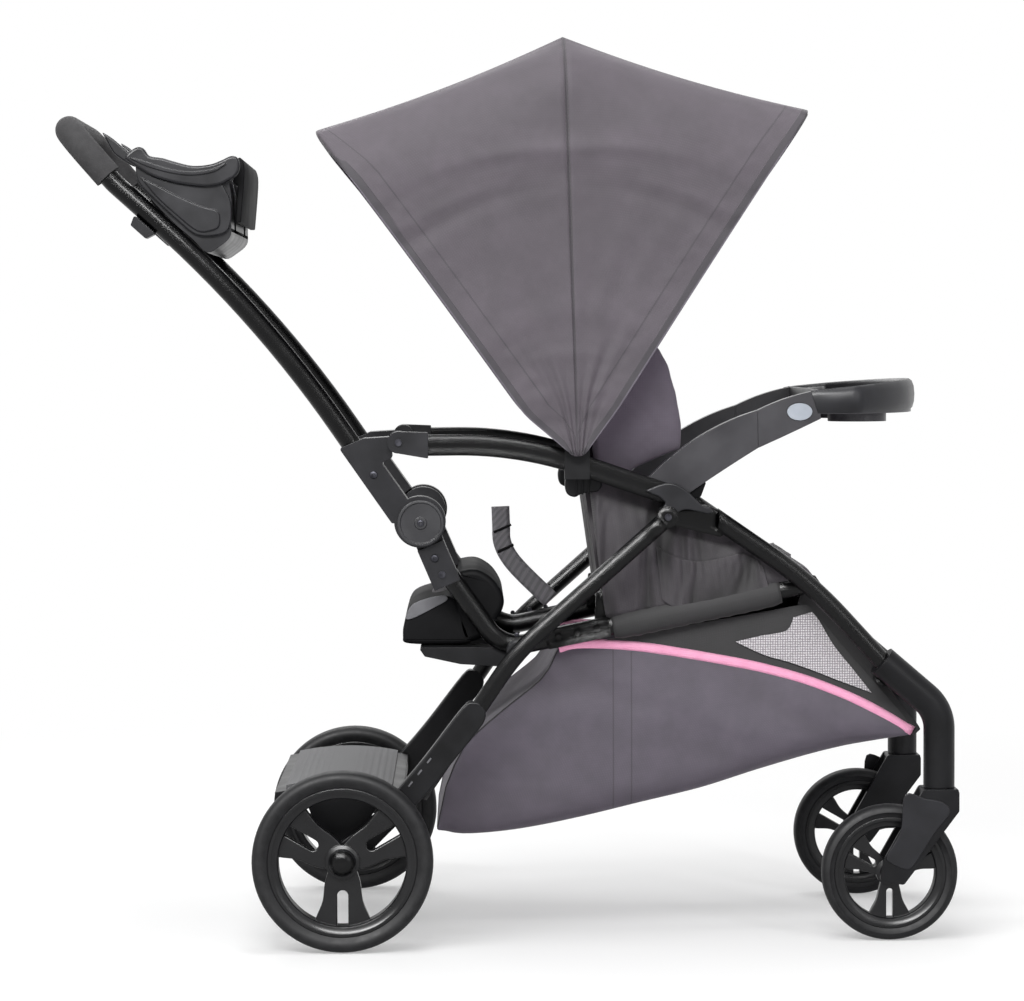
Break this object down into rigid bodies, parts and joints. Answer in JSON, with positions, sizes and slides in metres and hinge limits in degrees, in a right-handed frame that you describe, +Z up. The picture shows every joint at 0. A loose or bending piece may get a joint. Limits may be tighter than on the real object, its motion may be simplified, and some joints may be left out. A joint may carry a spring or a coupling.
{
  "type": "sit and stand stroller",
  "caption": "Folding sit and stand stroller with canopy, child tray, jump seat, standing platform, storage basket and swivelling front wheels.",
  "frame": {"origin": "on the ground under the middle of the bounding box", "axes": "+X points the way the stroller rolls, +Y to the child's left, +Z up"},
  "size_m": [1.1588, 0.55, 1.1638],
  "materials": {
    "gloss_tube": "gloss black powder coat on round and oval tube",
    "frame_plastic": "charcoal moulded plastic, fine grain",
    "grip_foam": "closed cell foam, matt",
    "rim_plastic": "semi gloss black moulding",
    "tyre_rubber": "solid foam rubber tyre",
    "tread_rubber": "ribbed rubber mat",
    "zinc_steel": "zinc plated",
    "seat_cloth": "charcoal polyester, softly padded",
    "canopy_cloth": "grey purple woven polyester",
    "webbing": "woven strap",
    "button_plastic": "pale blue grey"
  },
  "bodies": {
    "frame": {"rear_legs": "gloss_tube", "rear_brackets": "frame_plastic", "rear_axle": "zinc_steel", "standing_platform": "frame_plastic", "platform_tread": "tread_rubber", "push_tubes": "gloss_tube", "lower_hinges": "frame_plastic", "side_rails": "gloss_tube", "rail_ends": "frame_plastic", "junctions": "frame_plastic", "canopy_hubs": "frame_plastic", "cross_pivots": "frame_plastic", "seat_cross_bars": "gloss_tube", "seat_brackets": "gloss_tube", "seat_base": "frame_plastic", "seat_pad": "seat_cloth", "seat_sides": "seat_cloth", "seat_hems": "seat_cloth", "recline_clips": "frame_plastic", "harness_buckle": "frame_plastic", "leg_rest": "seat_cloth", "rear_seat": "frame_plastic", "rear_seat_pad": "seat_cloth", "rear_seat_bracket": "frame_plastic", "rear_belt": "webbing", "tray_arms": "frame_plastic", "basket": "canopy_cloth", "frame_screws": "zinc_steel"},
    "handle": {"handle_tube": "gloss_tube", "handle_grip": "grip_foam", "parent_console": "frame_plastic", "upper_hinges": "frame_plastic", "hinge_caps": "frame_plastic"},
    "fold_trigger_right": {"fold_trigger_r": "frame_plastic"},
    "fold_trigger_left": {"fold_trigger_l": "frame_plastic"},
    "front_legs": {"front_legs": "gloss_tube", "caster_housings": "frame_plastic", "front_crossbar": "gloss_tube"},
    "caster_right": {"caster_fork_r": "frame_plastic"},
    "caster_left": {"caster_fork_l": "frame_plastic"},
    "front_wheel_right": {"front_rim_r": "rim_plastic", "front_tyre_r": "tyre_rubber"},
    "front_wheel_left": {"front_rim_l": "rim_plastic", "front_tyre_l": "tyre_rubber"},
    "rear_wheel_right": {"rear_rim_r": "rim_plastic", "rear_tyre_r": "tyre_rubber"},
    "rear_wheel_left": {"rear_rim_l": "rim_plastic", "rear_tyre_l": "tyre_rubber"},
    "brake": {"brake_pedal": "frame_plastic"},
    "seat_back": {"seat_back": "frame_plastic", "seat_back_pad": "seat_cloth", "shoulder_straps": "webbing"},
    "tray": {"child_tray": "frame_plastic"},
    "tray_button_right": {"tray_button_r": "button_plastic"},
    "tray_button_left": {"tray_button_l": "button_plastic"},
    "canopy_rear": {"canopy_rear_bow": "gloss_tube", "canopy_rear_panel": "canopy_cloth"},
    "canopy_mid": {"canopy_mid_bow": "gloss_tube", "canopy_front_panel": "canopy_cloth"},
    "canopy_front": {"canopy_front_bow": "gloss_tube"}
  },
  "joints": [
    {"name": "handle_fold", "type": "hinge", "parent": "frame", "child": "handle", "pos_m": [-0.1101, 0, 0.541], "axis": [0, 1, 0], "range_deg": [0, 75]},
    {"name": "fold_trigger_slide_r", "type": "slide", "parent": "handle", "child": "fold_trigger_right", "axis": [-0.7441, 0, 0.6681], "range_m": [0, 0.006], "stiffness_N_per_m": 300, "springref_m": -0.002},
    {"name": "fold_trigger_slide_l", "type": "slide", "parent": "handle", "child": "fold_trigger_left", "axis": [-0.7441, 0, 0.6681], "range_m": [0, 0.006], "stiffness_N_per_m": 300, "springref_m": -0.002},
    {"name": "front_leg_fold", "type": "hinge", "parent": "frame", "child": "front_legs", "pos_m": [0.2059, 0, 0.547], "axis": [0, 1, 0], "range_deg": [0, 50], "deforming": ["basket", "leg_rest"]},
    {"name": "caster_swivel_r", "type": "hinge", "parent": "front_legs", "child": "caster_right", "pos_m": [0.5559, -0.185, 0.196], "axis": [0, 0, 1], "continuous": true},
    {"name": "caster_swivel_l", "type": "hinge", "parent": "front_legs", "child": "caster_left", "pos_m": [0.5559, 0.185, 0.196], "axis": [0, 0, 1], "continuous": true},
    {"name": "front_wheel_spin_r", "type": "hinge", "parent": "caster_right", "child": "front_wheel_right", "pos_m": [0.4919, -0.185, 0.0875], "axis": [0, 1, 0], "continuous": true},
    {"name": "front_wheel_spin_l", "type": "hinge", "parent": "caster_left", "child": "front_wheel_left", "pos_m": [0.4919, 0.185, 0.0875], "axis": [0, 1, 0], "continuous": true},
    {"name": "rear_wheel_spin_r", "type": "hinge", "parent": "frame", "child": "rear_wheel_right", "pos_m": [-0.2091, -0.254, 0.115], "axis": [0, 1, 0], "continuous": true},
    {"name": "rear_wheel_spin_l", "type": "hinge", "parent": "frame", "child": "rear_wheel_left", "pos_m": [-0.2091, 0.254, 0.115], "axis": [0, 1, 0], "continuous": true},
    {"name": "brake_press", "type": "hinge", "parent": "frame", "child": "brake", "pos_m": [-0.2091, 0, 0.115], "axis": [0, 1, 0], "range_deg": [-20, 0]},
    {"name": "seat_recline", "type": "hinge", "parent": "frame", "child": "seat_back", "pos_m": [0.12689, 0, 0.44199], "axis": [0, 1, 0], "range_deg": [-35, 0]},
    {"name": "tray_slide", "type": "slide", "parent": "frame", "child": "tray", "axis": [0.9135, 0, 0.4067], "range_m": [0, 0.06]},
    {"name": "tray_button_press_r", "type": "slide", "parent": "tray", "child": "tray_button_right", "axis": [0, 1, 0], "range_m": [0, 0.003], "stiffness_N_per_m": 300, "springref_m": -0.001},
    {"name": "tray_button_press_l", "type": "slide", "parent": "tray", "child": "tray_button_left", "axis": [0, -1, 0], "range_m": [0, 0.003], "stiffness_N_per_m": 300, "springref_m": -0.001},
    {"name": "canopy_tilt", "type": "hinge", "parent": "frame", "child": "canopy_rear", "pos_m": [0.0909, 0, 0.64], "axis": [0, 1, 0], "range_deg": [0, 62]},
    {"name": "canopy_fold", "type": "hinge", "parent": "canopy_rear", "child": "canopy_mid", "pos_m": [0.0909, 0, 0.64], "axis": [0, 1, 0], "range_deg": [-33, 0], "deforming": ["canopy_rear_panel"]},
    {"name": "canopy_front_fold", "type": "hinge", "parent": "canopy_mid", "child": "canopy_front", "pos_m": [0.0909, 0, 0.64], "axis": [0, 1, 0], "range_deg": [-33, 0], "deforming": ["canopy_front_panel"]}
  ],
  "couplings": [
    {"joint": "canopy_tilt", "follows": "handle_fold", "ratio": 0.82667},
    {"joint": "front_leg_fold", "follows": "handle_fold", "ratio": 0.66667},
    {"joint": "canopy_front_fold", "follows": "canopy_fold", "ratio": 1}
  ]
}
